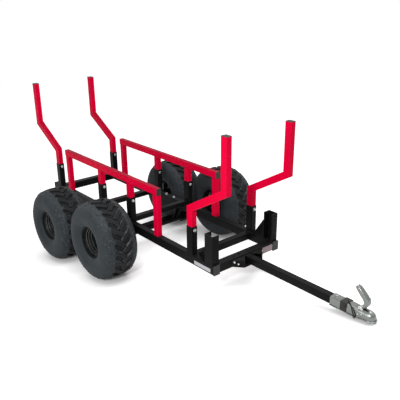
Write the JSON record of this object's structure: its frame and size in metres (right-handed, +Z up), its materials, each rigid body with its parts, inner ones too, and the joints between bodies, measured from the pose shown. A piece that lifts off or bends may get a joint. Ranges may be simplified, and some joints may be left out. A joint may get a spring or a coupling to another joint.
{
  "type": "forestry trailer",
  "caption": "Small timber trailer with a ladder frame, cranked load stakes, side fences, a walking-beam bogie and a ball coupling on a straight drawbar.",
  "frame": {"origin": "on the floor under the middle of the trailer's length and width, as it is parked", "axes": "+X forward to the coupling, +Y to the trailer's left, +Z up; the frame stands nose-down"},
  "size_m": [3.3144, 1.428, 1.3781],
  "materials": {
    "black_paint": "satin black powder coat",
    "red_paint": "semi-gloss red powder coat",
    "tyre": "new tread rubber",
    "rim_black": "gloss black paint",
    "galvanised": "zinc plated",
    "grey_plastic": "moulded",
    "black_plastic": "moulded"
  },
  "bodies": {
    "chassis": {"coupling_body": "galvanised", "coupling_collar": "black_plastic", "drawbar": "black_paint", "drawbar_braces": "black_paint", "fence_caps": "grey_plastic", "front_bolster": "black_paint", "front_bunk_bar": "black_paint", "front_crossbar": "black_paint", "left_fence": "red_paint", "left_front_fence_socket": "black_paint", "left_front_stake": "red_paint", "left_front_stake_socket": "black_paint", "left_front_upright": "black_paint", "left_hanger": "black_paint", "left_rear_fence_socket": "black_paint", "left_rear_stake": "red_paint", "left_rear_stake_socket": "black_paint", "left_side_rail": "black_paint", "pivot_axle": "black_paint", "rail_caps": "grey_plastic", "rear_bunk_bar": "black_paint", "rear_crossbar": "black_paint", "right_fence": "red_paint", "right_front_fence_socket": "black_paint", "right_front_stake": "red_paint", "right_front_stake_socket": "black_paint", "right_front_upright": "black_paint", "right_hanger": "black_paint", "right_rear_fence_socket": "black_paint", "right_rear_stake": "red_paint", "right_rear_stake_socket": "black_paint", "right_side_rail": "black_paint", "stake_caps": "grey_plastic"},
    "handle": {"coupling_handle": "galvanised"},
    "left_bogie": {"left_bogie_beam": "black_paint"},
    "left_front_wheel": {"left_front_rim": "rim_black", "left_front_tyre": "tyre"},
    "left_rear_wheel": {"left_rear_rim": "rim_black", "left_rear_tyre": "tyre"},
    "right_bogie": {"right_bogie_beam": "black_paint"},
    "right_front_wheel": {"right_front_rim": "rim_black", "right_front_tyre": "tyre"},
    "right_rear_wheel": {"right_rear_rim": "rim_black", "right_rear_tyre": "tyre"}
  },
  "joints": [
    {"name": "right_bogie_pivot", "type": "hinge", "parent": "chassis", "child": "right_bogie", "pos_m": [-0.52899, -0.399, 0.1485], "axis": [0, 1, 0], "range_deg": [-18, 18]},
    {"name": "left_bogie_pivot", "type": "hinge", "parent": "chassis", "child": "left_bogie", "pos_m": [-0.52899, 0.399, 0.1485], "axis": [0, 1, 0], "range_deg": [-18, 18]},
    {"name": "right_front_wheel_spin", "type": "hinge", "parent": "right_bogie", "child": "right_front_wheel", "pos_m": [-0.19399, -0.575, 0.288], "axis": [0, 1, 0], "continuous": true},
    {"name": "right_rear_wheel_spin", "type": "hinge", "parent": "right_bogie", "child": "right_rear_wheel", "pos_m": [-0.86399, -0.575, 0.288], "axis": [0, 1, 0], "continuous": true},
    {"name": "left_front_wheel_spin", "type": "hinge", "parent": "left_bogie", "child": "left_front_wheel", "pos_m": [-0.19399, 0.575, 0.288], "axis": [0, 1, 0], "continuous": true},
    {"name": "left_rear_wheel_spin", "type": "hinge", "parent": "left_bogie", "child": "left_rear_wheel", "pos_m": [-0.86399, 0.575, 0.288], "axis": [0, 1, 0], "continuous": true},
    {"name": "coupling_handle_lift", "type": "hinge", "parent": "chassis", "child": "handle", "pos_m": [1.57322, 0, 0.08333], "axis": [0, 1, 0], "range_deg": [-50, 10]}
  ]
}
